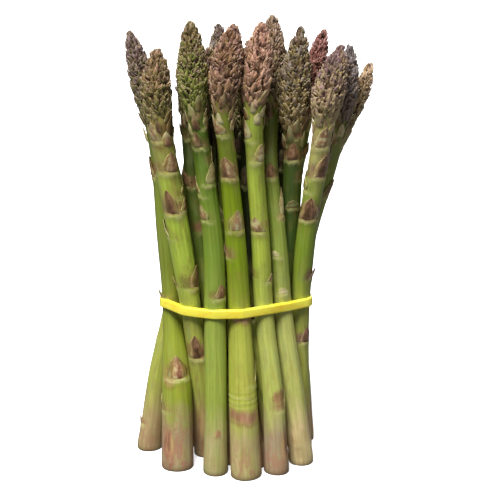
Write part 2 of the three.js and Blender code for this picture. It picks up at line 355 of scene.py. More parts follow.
def leaf_surface(course, get, shape, t, c, under):
    """Points of leaves, at t along and c across them, where under is 1 on the inner side.

    A leaf starts inside the stem, bulges, tucks its sides in, lifts its tip and is crumpled.
    """
    start = np.interp(get("z"), course.heights, course.path)
    distance = np.minimum(start + get("length") * t, course.path[-1] - 0.05 * MM)
    z, surface, outward, upward = course.outline(distance)
    depth = surface - np.minimum(course.core(z), surface)
    lift = get("lift") * t**1.4
    rise = get("bulge") * np.sin(math.pi * np.clip(t, 0, 1) ** 0.75) * (1 - np.abs(c) ** 1.6)
    tuck = get("tuck") * c**2 * (1 - 0.4 * t)
    height = lift + rise - tuck - get("sink") * (1 - t) - depth * (1 - t) ** 1.3
    height = height + get("proud") * smooth_step(0, 0.14, t)
    wave = np.sin(get("phase") + 7 * t + 3 * c) * np.sin(2 * get("phase") - 4 * t + 4 * c)
    height = height + CRUMPLE * wave * np.sin(math.pi * np.clip(t, 0, 1))
    lump = np.sin(math.tau * z / LUMP_SPACING + 2 * get("turn"))
    lump = lump * np.sin(LUMPS_ROUND * get("turn") - 90 * z)
    height = height + LUMP_HEIGHT * lump * smooth_step(0.3, 0.6, get("head"))
    height = height - under * get("thickness") * (np.sqrt(np.clip(1 - c**2, 0, 1)) + 0.15)
    reach = np.maximum(surface + height * outward, 0.05 * MM)
    ragged = 1 + 0.1 * np.sin(get("phase") + 9 * t + 2 * c)
    half = get("width") / 2 * shape(t) * ragged
    girth = np.maximum(surface + get("lift"), 0.9 * MM)
    turn = get("turn") + c * half / girth + get("lean") * t
    return course.at(z + height * upward + 0 * turn, turn, reach + 0 * turn)


def add_leaves(skin, course, leaves, grid, shape):
    """Adds scale leaves that hug a spear, each a thin closed solid.

    grid is the rows and columns of a leaf's outer side, and shape gives its width along it.
    """
    if not leaves:
        return
    rows, columns = grid
    count = len(leaves)

    def get(key):
        return np.array([leaf[key] for leaf in leaves])[:, None, None]

    def flat(key):
        return np.broadcast_to(get(key)[:, :, 0], (count, per_leaf))

    t = np.linspace(0, LEAF_LAST_ROW, rows)[None, :, None]
    over = np.linspace(-1, 1, columns)
    c = np.concatenate([over, over[-2:0:-1]])[None, None, :]
    under = np.concatenate([np.zeros(columns), np.ones(columns - 2)])[None, None, :]
    around = c.shape[2]
    per_leaf = rows * around + 2
    zero, one = np.zeros((1, 1, 1)), np.ones((1, 1, 1))
    body = leaf_surface(course, get, shape, t, c, under)
    apex = leaf_surface(course, get, shape, one, zero, zero)
    base = leaf_surface(course, get, shape, zero, zero, one)
    points = np.concatenate([part.reshape(count, -1, 3) for part in (body, apex, base)], axis=1)

    ends = np.ones((count, 1))
    t_all, c_all = [np.broadcast_to(v, body.shape[:3]).reshape(count, -1) for v in (t, c)]
    along = np.hstack([t_all, ends, 0 * ends])
    across = np.hstack([c_all, 0 * ends, 0 * ends])
    shades = flat("tone") * 0.5 + 0 * across
    grain = np.stack([across * flat("width") / 2, shades, along * flat("length")], axis=-1)

    faces = (
        tube_faces(rows, around),
        fan_faces((rows - 1) * around, around, rows * around, True),
        fan_faces(0, around, rows * around + 1, False),
    )
    offsets = (np.arange(count) * per_leaf)[:, None, None]
    skin.add(
        points.reshape(-1, 3),
        [(group[None] + offsets).reshape(-1, group.shape[1]) for group in faces],
        grain.reshape(-1, 3),
        leaf=1.0,
        along=along.ravel(),
        edge=np.abs(across).ravel(),
        **{mark: flat(mark).ravel() for mark in ("tone", "blush", "pale", "head")},
    )


def scale_outline(t):
    """A scale leaf of the head: broad at its foot, then drawn out to a blunt point."""
    return np.clip(1 - t**2.2, 0, 1) ** 0.65 * (0.85 + 0.3 * t)


def bud_outline(t):
    """A small bud between scale leaves: rounded at both ends."""
    return np.sqrt(np.clip(1 - (1.7 * t - 0.75) ** 2, 0.02, 1))


def bract_outline(t):
    """A scale leaf of the stalk: a triangle with a broad foot."""
    return np.clip(1 - t**1.8, 0, 1) ** 0.8 * (1 + 0.1 * t)


def head_leaves(course, look, chance):
    """The overlapping scale leaves of one head, in the order they grow round it, and its buds."""
    leaves, buds = [], []
    z = course.neck - HEAD_STARTS_BELOW
    turn = chance.uniform(0, 360)
    middle = course.radius(course.top - 0.6 * course.head_length)
    fullness = np.clip(middle / USUAL_HEAD_RADIUS, 0.75, 1.2)
    while z < course.top - HEAD_ENDS_BELOW:
        a = np.clip((z - course.neck) / course.head_length, 0, 1)
        length = between(*SCALE_LENGTHS, a) * fullness * chance.uniform(0.75, 1.2)
        width = between(*SCALE_WIDTHS, a) * fullness * chance.uniform(0.75, 1.2)
        openness = (0.3 + 0.7 * smooth_step(0, 0.3, a)) * (1 - 0.7 * smooth_step(0.75, 1, a))
        leaf = dict(
            SCALE_LEAF,
            z=z,
            turn=math.radians(turn + chance.uniform(-16, 16)),
            length=length,
            width=width,
            bulge=SCALE_BULGE * (1.2 - 0.6 * a) * chance.uniform(0.5, 1.4),
            lift=SCALE_LIFT * look["loose"] * chance.uniform(-0.8, 1.7) * openness,
            tone=chance.uniform(0, 1),
            lean=math.radians(chance.uniform(-12, 12)),
            phase=chance.uniform(0, 6),
            blush=0.0,
            pale=0.0,
            head=0.35 + 0.65 * a,
        )
        if chance.uniform(0, 1) > SCALE_MISSING or a > SCALES_ALL_FROM:
            leaves.append(leaf)
        girth = max(float(course.core(z)), 2.0 * MM)
        buds += buds_beside(leaf, girth, openness, a, chance)
        girth = max(float(course.radius(z + 0.4 * length)), 1.2 * MM)
        z += SCALE_SPACING * width * length / (math.tau * girth)
        turn += GOLDEN_TURN
    return leaves, buds


def buds_beside(leaf, girth, openness, a, chance):
    """Small buds that show between one scale leaf and the next, none near the tip."""
    found = []
    for side in BUD_SIDES:
        if chance.uniform(0, 1) < BUD_MISSING or a > BUDS_END:
            continue
        spread = side * chance.uniform(0.25, 0.5) * leaf["width"]
        bud = dict(
            leaf,
            z=leaf["z"] + leaf["length"] * chance.uniform(0.25, 0.6),
            turn=leaf["turn"] + spread / girth,
            length=leaf["length"] * chance.uniform(0.4, 0.62),
            width=leaf["width"] * chance.uniform(0.36, 0.6),
            lift=SCALE_LIFT * chance.uniform(-0.2, 1.3) * openness,
            bulge=BUD_BULGE * chance.uniform(0.6, 1.2),
            thickness=BUD_THICKNESS,
            lean=math.radians(side * chance.uniform(-12, 26)),
            tone=chance.uniform(0, 1),
            phase=chance.uniform(0, 6),
        )
        found.append(bud)
    return found


def neck_leaves(course, chance):
    """Broader scale leaves that hug the stalk just below the head."""
    found = []
    z = course.neck - NECK_LEAVES_BELOW
    turn = chance.uniform(0, 360)
    while z < course.neck + NECK_LEAVES_ABOVE:
        near = smooth_step(course.neck - NECK_LEAVES_BELOW, course.neck, z)
        leaf = dict(
            BRACT_LEAF,
            z=z,
            turn=math.radians(turn + chance.uniform(-15, 15)),
            length=chance.uniform(6.5, 10) * MM,
            width=float(course.radius(z)) * chance.uniform(0.8, 1.35) * (1.1 - 0.2 * near),
            bulge=chance.uniform(0.3, 0.9) * MM,
            lift=chance.uniform(0.1, 1.3) * MM,
            tuck=0.15 * MM,
            tone=chance.uniform(0.3, 1.1),
            lean=math.radians(chance.uniform(-BRACT_LEAN, BRACT_LEAN)),
            phase=chance.uniform(0, 6),
            blush=0.5,
            pale=0.45,
            head=0.05 + 0.2 * near,
        )
        found.append(leaf)
        z += NECK_LEAF_SPACING * chance.uniform(0.5, 1.5)
        turn += GOLDEN_TURN
    return found


def bract(z, turn, length=10.0, width=8.0, lift=0.5, bulge=0.5, blush=0.8, pale=1.0, tone=0.5):
    """One scale leaf of the stalk, in millimetres and degrees, from the foot of the leaf up."""
    return dict(
        BRACT_LEAF,
        z=z * MM,
        turn=math.radians(turn),
        length=length * MM,
        width=BRACT_BREADTH * width * MM,
        bulge=bulge * MM,
        lift=lift * MM,
        tuck=0.1 * MM,
        tone=tone,
        lean=math.radians(BRACT_LEAN * math.sin(z + turn)),
        phase=turn,
        blush=blush * (1.15 - 0.8 * tone),
        pale=pale,
        head=0.0,
    )


def grown_bracts(course, chance, turn):
    """Scale leaves down the stalk below a head, further and further apart."""
    found = []
    z = (course.neck - NECK_LEAVES_BELOW) / MM
    gap = BRACT_FIRST_GAP
    while z > BRACT_LOWEST:
        radius = float(course.radius(z * MM)) / MM
        leaf = bract(
            z - chance.uniform(0, 2),
            turn,
            length=chance.uniform(8, 11),
            width=radius * chance.uniform(1.5, 1.9),
            lift=chance.uniform(0.3, 0.8),
            bulge=chance.uniform(0.4, 0.8),
            blush=chance.uniform(0.5, 1.0),
            tone=chance.uniform(0, 1),
        )
        found.append(leaf)
        z -= gap * chance.uniform(0.8, 1.2)
        gap = min(gap * BRACT_GAP_GROWTH, BRACT_LAST_GAP)
        turn += GOLDEN_TURN
    return found


def stalk_relief(fuller, phase, zz, tt):
    """Fine ribs, slow swells, and one side that is fuller above the band."""
    ridges = np.sin(RIDGE_COUNT * tt + phase[0] + RIDGE_WINDING * zz) * RIDGE_HEIGHT
    lobes = (
        np.sin(2 * tt + phase[1] + 20 * zz)
        + 0.7 * np.sin(3 * tt + phase[2] - 35 * zz)
        + 0.6 * np.sin(70 * zz + phase[3] + 1.5 * np.sin(tt + phase[4]))
    ) * UNEVENNESS
    side = np.clip(np.sin(tt) * np.sign(fuller), 0, 1)
    return ridges + lobes + abs(fuller) * MM * side * smooth_step(*FULLER_RISE, zz)


def stain_marks(course, stains, phase, zz, tt):
    """How strongly stains colour a stalk, and the line along their lower edges."""
    blush, seam = np.zeros((2, *zz.shape))
    for low, turn, tall, wide, strength in stains:
        girth = course.radius(low * MM) / MM
        across = plateau(turn_away(tt, math.radians(turn)) * girth / wide * 2)
        edge = low + 0.6 * np.sin(2 * tt + phase[6]) + 0.35 * np.sin(7 * tt + phase[7])
        rise = zz / MM - edge
        blush = np.maximum(blush, strength * across * bell(rise / tall * 2 - 1))
        seam = np.maximum(seam, strength * across * bell(rise / STAIN_EDGE))
    return blush, seam


def ring_marks(rings, phase, zz, tt):
    """Fine rings round a stalk between two heights: their relief, and how pale they are."""
    relief, pale = np.zeros((2, *zz.shape))
    for low, high in rings:
        window = smooth_step(low * MM, low * MM + RING_SPACING, zz)
        window = window * (1 - smooth_step(high * MM - RING_SPACING, high * MM, zz))
        wave = np.sin(math.tau * zz / RING_SPACING + 0.8 * np.sin(tt + phase[5]))
        relief += RING_HEIGHT * window * wave
        pale = np.maximum(pale, 0.55 * window * smooth_step(0.2, 1, wave))
    return relief, pale


def node_marks(course, bracts, zz, tt):
    """The swelling, the pale line and the flush of colour round the foot of each scale leaf."""
    swelling, pale, blush = np.zeros((3, *zz.shape))
    for leaf in bracts:
        away = turn_away(tt, leaf["turn"]) * course.radius(leaf["z"]) / leaf["width"]
        rise = zz - leaf["z"]
        reach = np.where(rise < 0, rise / NODE_REACH_DOWN, rise / NODE_REACH_UP)
        swelling += NODE_SWELLING * plateau(away / 0.5) * bell(reach)
        wavy = 0.35 * np.sin(5 * tt + leaf["phase"]) + 0.25 * np.sin(11 * tt + 2 * leaf["phase"])
        line = bell((rise + (NODE_LINE_DROP + wavy) * MM) / NODE_LINE_HEIGHT)
        pale = np.maximum(pale, leaf["pale"] * plateau(away / 0.75) * line)
        share = rise / leaf["length"]
        inside = smooth_step(-0.02, 0.05, share) * (1 - smooth_step(0.35, 1.0, share))
        blush = np.maximum(blush, leaf["blush"] * plateau(away / 1.1) * inside)
    return swelling, pale, blush


def add_stalk(skin, course, bracts, look, chance):
    """The stem of a spear, from its flat cut end to inside its head."""
    rows = int(course.top / STALK_ROW_SPACING)
    z = np.linspace(0, course.top - STALK_ENDS_BELOW, rows)
    z = np.concatenate([CUT_EDGE_ROWS, z[1:]])
    turn = np.linspace(-math.pi, math.pi, STALK_SIDES, endpoint=False)
    zz, tt = np.meshgrid(z, turn, indexing="ij")
    phase = chance.uniform(0, math.tau, 8)
    fade = 1 - smooth_step(course.neck, course.neck + HEAD_FADE, zz)
    stain_blush, seam = stain_marks(course, look["stains"], phase, zz, tt)
    ring_relief, ring_pale = ring_marks(look["rings"], phase, zz, tt)
    swelling, node_pale, node_blush = node_marks(course, bracts, zz, tt)
    patchy = 0.8 + 0.5 * np.sin(5 * tt + phase[5]) * np.sin(900 * zz + 3 * np.sin(2 * tt))
    neck = NECK_BLUSH * smooth_step(course.neck - NECK_LEAVES_BELOW, course.neck, zz) * patchy
    blush = np.maximum(neck, np.maximum(stain_blush, node_blush))
    pale = np.maximum(ring_pale, node_pale)
    reach = course.core(zz) + (stalk_relief(look["fuller"], phase, zz, tt) + swelling) * fade
    reach += ring_relief
    cut = np.clip(1 - zz / CUT_ROUNDING, 0, 1)
    reach -= CUT_ROUNDING * (1 - np.sqrt(np.clip(1 - cut**2, 0, 1)))

    body = course.at(zz, tt, reach)
    rim = body[0]
    middle = rim.mean(axis=0)
    shares = np.linspace(0, 1, CUT_RINGS + 1)[1:-1]
    cut_rings = [middle + (rim - middle) * share for share in shares]
    apex = course.at(course.top - STALK_POINT_BELOW, 0.0, 0.0)
    points = np.vstack([*cut_rings, *body, [middle, apex]])
    girth = float(course.radius(GRAIN_GIRTH_HEIGHT))
    around = np.stack([np.sin(tt) * girth, np.cos(tt) * girth, zz], axis=-1)
    grain = np.vstack([*cut_rings, *around, [middle, apex]])

    def with_ends(values):
        """Adds 0 for the points of the cut end, its middle and the point on top."""
        return np.concatenate([np.zeros(len(shares) * STALK_SIDES), values.ravel(), [0, 0]])

    total_rows = len(shares) + len(z)
    total = total_rows * STALK_SIDES
    faces = [
        tube_faces(total_rows, STALK_SIDES),
        fan_faces(0, STALK_SIDES, total, False),
        fan_faces(total - STALK_SIDES, STALK_SIDES, total + 1, True),
    ]
    skin.add(
        points,
        faces,
        grain,
        blush=with_ends(blush),
        pale=with_ends(pale),
        seam=with_ends(seam),
        head=with_ends(1 - fade),
        tone=0.5,
    )


class Paint:
    """Builds a node material step by step."""

    def __init__(self, name):
        self.material = bpy.data.materials.new(name)
        self.material.use_nodes = True
        self.tree = self.material.node_tree
        self.shader = self.tree.nodes["Principled BSDF"]

    def node(self, kind, inputs, **settings):
        made = self.tree.nodes.new(kind)
        for key, value in settings.items():
            setattr(made, key, value)
        for key, value in inputs.items():
            self.plug(made.inputs[key], value)
        return made

    def plug(self, socket, value):
        """Links a socket to another node's output, or sets its number or colour."""
        if isinstance(value, bpy.types.NodeSocket):
            self.tree.links.new(value, socket)
        else:
            socket.default_value = value

    def mark(self, name, output="Fac"):
        return self.node("ShaderNodeAttribute", {}, attribute_name=name).outputs[output]

    def place(self):
        return self.node("ShaderNodeTexCoord", {}).outputs["Object"]

    def grain(self, stretch):
        """Place on the skin, whose third axis runs along the piece."""
        inputs = {"Vector": self.mark("grain", "Vector"), "Scale": stretch}
        return self.node("ShaderNodeMapping", inputs).outputs["Vector"]

    def noise(self, vector, scale, detail=3.0, roughness=0.55):
        inputs = {"Vector": vector, "Scale": scale, "Detail": detail, "Roughness": roughness}
        return self.node("ShaderNodeTexNoise", inputs).outputs["Fac"]

    def streaky(self, along, scale, detail=3.0, roughness=0.55):
        """Noise drawn out along the piece, the more so the smaller along is."""
        return self.noise(self.grain((1, 1, along)), scale, detail, roughness)

    def math(self, operation, *values):
        inputs = dict(enumerate(values))
        return self.node("ShaderNodeMath", inputs, operation=operation).outputs[0]

    def times(self, first, second):
        return self.math("MULTIPLY", first, second)

    def plus(self, first, second):
        return self.math("ADD", first, second)

    def span(self, value, low, high, to_low=0.0, to_high=1.0, kind="SMOOTHSTEP"):
        """Maps low and high, in either order, to two other numbers and levels off beyond them."""
        inputs = {"Value": value, "From Min": low, "From Max": high}
        inputs.update({"To Min": to_low, "To Max": to_high})
        return self.node("ShaderNodeMapRange", inputs, interpolation_type=kind).outputs["Result"]

    def mix(self, factor, first, second, mode="MIX"):
        inputs = {"Factor": factor, MIX_FIRST: first, MIX_SECOND: second}
        made = self.node("ShaderNodeMix", inputs, data_type="RGBA", blend_type=mode)
        return made.outputs[MIX_RESULT]

    def coat(self, base, colour, cover, amount=None):
        """Lays a web colour over a base where cover is high, thinned to an amount."""
        factor = cover if amount is None else self.times(cover, amount)
        return self.mix(factor, base, srgb(colour))

    def ramp(self, value, stops, colours):
        """Web colours laid out along a value."""
        made = self.node("ShaderNodeValToRGB", {"Fac": value})
        elements = made.color_ramp.elements
        while len(elements) < len(stops):
            elements.new(0.5)
        for element, stop, colour in zip(elements, stops, colours):
            element.position = stop
            element.color = srgb(colour)
        return made.outputs["Color"]

    def bump(self, height, strength, distance):
        inputs = {"Strength": strength, "Distance": distance, "Height": height}
        return self.node("ShaderNodeBump", inputs).outputs["Normal"]

    def finish(self, **values):
        """Sets or links inputs of the shader, with underscores in their names."""
        for name, value in values.items():
            self.plug(self.shader.inputs[name.replace("_", " ")], value)
        return self.material


def stalk_colour(paint, look, streaks):
    """The stalk, from its beige foot up to the green below the head, and painted dark shade
    inside the head.
    """
    height = paint.node("ShaderNodeSeparateXYZ", {"Vector": paint.place()}).outputs["Z"]
    wander = paint.math("MULTIPLY_ADD", paint.streaky(0.5, 160.0, 2.0), 0.03, -0.015)
    level = paint.span(paint.plus(height, wander), 0.0, STALK_RAMP_TOP, kind="LINEAR")
    # The throat colour at the top of the ramp is partly painted shade under the head
    colour = paint.ramp(level, STALK_STOPS, [look[key] for key in STALK_COLOURS])
    bright = paint.mix(1.0, colour, STREAK_BRIGHT, "MULTIPLY")
    colour = paint.mix(paint.times(paint.span(streaks, 0.3, 0.72), 0.5), colour, bright)
    dim = paint.mix(1.0, colour, FIBRE_DIM, "MULTIPLY")
    fibres = paint.streaky(0.02, 700.0, 2.0)
    colour = paint.mix(paint.span(fibres, 0.58, 0.38, 0.0, 0.4), colour, dim)
    bloom = paint.span(paint.streaky(0.3, 190.0), 0.46, 0.68)
    colour = paint.coat(colour, look["bloom"], bloom, 0.35)
    patches = paint.span(paint.streaky(0.35, 260.0), 0.5, 0.7)
    colour = paint.coat(colour, look["patch"], patches, look["patches"])
    pink = paint.span(paint.streaky(0.4, 330.0, 4.0, 0.65), 0.44, 0.58)
    pink = paint.times(pink, paint.span(height, look["pink_top"], 0.004))
    colour = paint.coat(colour, FOOT_PINK, pink, look["pink"])
    # Darker brown over the lowest 3.5 mm of the stalk and on its cut end
    colour = paint.coat(colour, LOWEST_BROWN, paint.span(height, 0.0, 0.0035, 1.0, 0.0), 0.75)
    # Painted shade: the stem inside the head is coloured almost black
    return paint.coat(colour, HEAD_CORE_SHADE, paint.mark("head"))


def flushed_colour(paint, look, stalk, bands):
    """The stalk with pink and brown round its nodes."""
    ragged = paint.noise(paint.mark("grain", "Vector"), 1100.0, 4.0, 0.7)
    ragged = paint.span(ragged, 0.3, 0.7, -0.14, 0.14)
    blush = paint.span(paint.plus(paint.mark("blush"), ragged), 0.15, 0.85)
    flush = paint.ramp(bands, BLUSH_STOPS, look["blush"])
    colour = paint.mix(paint.times(blush, 0.85), stalk, flush)
    return paint.coat(colour, STAIN_BROWN, paint.mark("seam"), 0.45)


def bract_colour(paint, look, ground, mottle, bands, veins):
    """Scale leaves of the stalk: dark tips, pale feet and edges, and sides like the stalk."""
    along, edge, tone = [paint.mark(name) for name in ("along", "edge", "tone")]
    varied = paint.plus(tone, paint.span(mottle, 0.3, 0.7, -0.2, 0.2))
    varied = paint.plus(varied, paint.span(bands, 0.35, 0.65, -0.25, 0.25))
    colour = paint.ramp(varied, BRACT_STOPS, look["bracts"])
    colour = paint.coat(colour, look["bracts"][0], paint.span(along, 0.55, 1.0), 0.35)
    soft = paint.times(paint.span(edge, 0.1, 0.85), 0.92)
    soft = paint.times(soft, paint.span(tone, 0.95, 0.6, 0.3, 1.0))
    colour = paint.mix(soft, colour, ground)
    fringe = paint.times(paint.span(edge, 0.8, 0.98), paint.span(veins, 0.4, 0.6))
    colour = paint.coat(colour, look["bract_edge"], fringe, 0.6)
    corners = paint.times(paint.span(edge, 0.5, 0.85), paint.span(along, 0.4, 0.1))
    corners = paint.math("MAXIMUM", corners, paint.span(along, 0.09, 0.03))
    colour = paint.coat(colour, LEAF_FOOT, corners, 0.45)
    papery = paint.times(paint.span(along, 0.45, 0.9), paint.span(paint.mark("pale"), 0.9, 0.4))
    papery = paint.times(papery, paint.span(tone, 0.3, 0.6))
    return paint.coat(colour, look["bract_edge"], papery, 0.75)


def scale_colour(paint, look, place, mottle, veins):
    """Scale leaves of the head: mottled, with painted shade at the foot, and thin pale edges."""
    along, edge, tone = [paint.mark(name) for name in ("along", "edge", "tone")]
    varied = paint.plus(paint.span(tone, 0, 1, -0.12, 0.12), mottle)
    colour = paint.ramp(varied, SCALE_STOPS, (look["scale_dark"], *look["scales"]))
    clouds = paint.span(paint.noise(place, 170.0, 2.0), 0.48, 0.66)
    colour = paint.coat(colour, look["tint"], clouds, 0.45)
    hues = paint.noise(place, 260.0, 2.0)
    colour = paint.coat(colour, HEAD_OLIVE, paint.span(hues, 0.52, 0.66), look["hues"])
    colour = paint.coat(colour, HEAD_PLUM, paint.span(hues, 0.46, 0.34), look["hues"])
    uneven = paint.plus(paint.mark("head"), paint.span(mottle, 0.3, 0.7, -0.25, 0.25))
    colour = paint.coat(colour, look["scale_foot"], paint.span(uneven, 0.85, 0.35), look["green"])
    # Painted shade: the foot of each scale leaf, tucked among the other leaves, is darkened
    colour = paint.coat(colour, look["scale_dark"], paint.span(along, 0.4, 0.05), 0.75)
    rims = paint.math("MAXIMUM", paint.span(edge, 0.68, 0.95), paint.span(along, 0.86, 0.98))
    rims = paint.times(rims, paint.span(veins, 0.3, 0.6, 0.1, 0.65))
    return paint.coat(colour, look["scale_edge"], rims)


def spear_material(name, look):
    """Skin of one spear: beige foot, green stalk, purplish scale leaves with pale edges."""
    paint = Paint(name)
    place = paint.place()
    streaks = paint.streaky(0.05, 1500.0, 3.0, 0.6)
    veins = paint.streaky(0.12, 1800.0, 3.0, 0.6)
    bands = paint.streaky(0.2, 300.0)
    mottle = paint.noise(place, 420.0, 3.0, 0.6)
    stalk = stalk_colour(paint, look, streaks)
    ground = flushed_colour(paint, look, stalk, bands)
    bracts = bract_colour(paint, look, ground, mottle, bands, veins)
    scales = scale_colour(paint, look, place, mottle, veins)
    leaves = paint.mix(paint.span(paint.mark("head"), 0.15, 0.4), bracts, scales)
    line = paint.times(paint.mark("pale"), paint.span(mottle, 0.35, 0.55, 0.25, 0.95))
    colour = paint.coat(ground, NODE_LINE, line)
    colour = paint.mix(paint.mark("leaf"), colour, leaves)
    speckle = paint.span(paint.noise(place, 900.0, 2.0), 0.62, 0.78)
    relief = paint.plus(streaks, paint.times(veins, 0.5))
    return paint.finish(
        Base_Color=paint.coat(colour, SPECKLE, speckle, 0.25),
        Roughness=paint.span(streaks, 0.3, 0.8, 0.38, 0.55),
        Normal=paint.bump(relief, 0.35, 0.3 * MM),
        Specular_IOR_Level=0.4,
    )


# The look of a spear. foot, low, stalk and throat colour its stalk from the cut end up, with a
# patch and a bloom colour on it; throat is mostly a darker green, partly painted shade under the
# head. blush colours the skin round its nodes, bracts its scale leaves
# and scales those of its head. patches, pink, green and hues say how much of a colour shows,
# pink_top and tip are heights, and loose multiplies the lift of the head's scale leaves.
# In millimetres: fuller is how far one side swells, rings run between two heights, and a stain
# has a lower edge, a turn in degrees, a height, a width and a strength.
LOOK = dict(
    foot="#b89c70", low="#a9ae4c", stalk="#8a9a38", throat="#7a8836",
    patch="#97803f", patches=0.3, bloom="#97a066", pink=0.5, pink_top=0.03,
    blush=("#70532a", "#a06c54", "#ba9c66"), stains=[], rings=[], fuller=0.0,
    bracts=("#4a3719", "#8a6249", "#b38c66", "#d8cd98"), bract_edge="#d2c894",
    scales=("#7a5f4c", "#766e3c", "#a58a70", "#c9b096"), scale_dark="#33241e",
    scale_edge="#cdb698", scale_foot="#84863f", green=0.6, tint="#7c5a50", hues=0.45,
    loose=1.0, tip=TIP_HEIGHT,
)

# Painted shade: the spears in the middle of the bunch get dark colours that stand in for the
# shade among the spears round them
PAINTED_SHADE_GREEN = dict(
    stalk="#26300d", throat="#20290b", patch="#33300f", bloom="#2f3a14",
    blush=("#362a14", "#4a3826", "#5a4c2c"),
    bracts=("#2a1f10", "#4c382a", "#63503c", "#7a6c4c"),
)

LOOKS = {
    "spear_01": dict(
        foot="#a5926f", low="#8f9a2f", bloom="#97a04d", pink=0.8, pink_top=0.045, fuller=1.5,
        stains=[(43, -30, 7, 9, 0.7), (4, -35, 20, 7, 1.0), (22, -5, 4, 2.5, 0.6)],
        bracts=("#4a3719", "#86553f", "#b38c66", "#d8cd98"),
        scales=("#7c6466", "#7b695b", "#a48e8f", "#b49e9c"), tint="#6e5a5a", hues=0.3,
    ),
    "spear_02": dict(
        stalk="#bdd34d", throat="#a8a650", patches=0.5,
        stains=[
            (172, -30, 16, 14, 0.8), (136, 0, 13, 20, 0.5),
            (94, 60, 14, 9, 0.8), (4, 0, 34, 12, 0.6),
        ],
        scales=("#7f5e48", "#7a6a3b", "#a78266", "#b89576"), tint="#80624a",
    ),
    "spear_03": dict(
        foot="#ada46f", low="#97a545", stalk="#849e37", throat="#5a7820", bloom="#86a046",
        patches=0.15, pink=0.2, stains=[(20, 10, 4, 4, 0.9), (92, 30, 8, 10, 0.4)],
        bracts=("#4a3719", "#8a6249", "#b38c66", "#c2ba7c"), tip=6.0 * MM,
        scales=("#6f5b3a", "#696730", "#9a815d", "#b5a284"), tint="#6e5a42",
        scale_foot="#849039", green=0.9,
    ),
    "spear_04": dict(
        foot="#b1a370", low="#a6ab45", stalk="#8aa312", throat="#74861e", bloom="#97a046",
        pink=0.6, blush=("#8c604a", "#a8745f", "#b98e70"), rings=[(36, 46), (81, 86)],
        stains=[
            (28.5, 0, 8, 26, 0.9), (79, 0, 4, 26, 0.8),
            (128, 40, 10, 14, 0.8), (155, 0, 11, 24, 0.7),
        ],
        scales=("#825846", "#7e5e42", "#a67a68", "#c9a08a"), tint="#7c5650",
        scale_foot="#a48a54", green=0.3,
    ),
    "spear_05": dict(
        foot="#9f8e6f", low="#adb35a", stalk="#bdce4e", throat="#a4b646", pink=0.6,
        stains=[(36, 40, 8, 9, 1.0), (126, 0, 8, 20, 0.6), (2, 60, 24, 8, 0.8)],
        scales=("#ac7c6b", "#b2816e", "#d0a48b", "#fbd4b5"), tint="#8a6456",
        scale_foot="#c9a678", green=0.35,
    ),
    "spear_06": dict(
        foot="#cdb986", low="#b4b764", stalk="#99aa4b", pink=0.2, stains=[(10, -20, 8, 9, 0.5)],
        scales=("#856a5a", "#86735a", "#a98f7c", "#cbb29c"), green=0.3,
    ),
    "spear_07": dict(
        stalk="#869e2f", throat="#c4bf74", blush=("#70532a", "#85485c", "#ba9c66"),
        stains=[(130, 0, 9, 30, 1.0), (166, 0, 12, 20, 0.6), (97, 60, 8, 9, 0.7)],
        scales=("#61474d", "#5f4b43", "#836469", "#ab898b"), scale_foot="#e7d094",
        green=0.5, tip=2.4 * MM,
    ),
    "spear_08": dict(foot="#ae9c6b"),
    # Partly painted shade: this spear stands behind others, and its stalk and throat are coloured
    # darker for the shade there
    "spear_09": dict(
        stalk="#66782e", throat="#4a5a26", scales=("#5c4c46", "#60524a", "#7c6e68", "#a89c92")
    ),
    "spear_10": dict(scales=("#66564e", "#665848", "#8e8078", "#b8aea6")),
    "spear_11": PAINTED_SHADE_GREEN,
    "spear_12": dict(
        stalk="#52692a", throat="#44561f", bracts=("#4a3719", "#8a6249", "#b38c66", "#979a62"),
        scales=("#4c412e", "#4f4a2c", "#7a6b5c", "#aa9d8e"), scale_dark="#1c140e",
        scale_edge="#d8c8a4", scale_foot="#b8a060", green=0.5, loose=1.5,
    ),
    "spear_13": dict(
        scales=("#8e5851", "#8e6152", "#b17e76", "#cf9f97"), scale_edge="#e4b8a8",
        green=0.1, tint="#a05e58", hues=0.12,
    ),
    "spear_14": dict(
        scales=("#776b6f", "#756e69", "#9e9397", "#b0a8ab"), scale_foot="#86715c",
        green=0.7, tint="#6a6468", hues=0.2, fuller=-1.3,
    ),
    "spear_15": dict(
        scales=("#dcb89b", "#d4b988", "#e2c5aa", "#ecd8ba"), scale_dark="#5a4638",
        green=0.4, tint="#8e7656", hues=0.3,
    ),
    "spear_21": PAINTED_SHADE_GREEN,
    "spear_24": PAINTED_SHADE_GREEN,
}

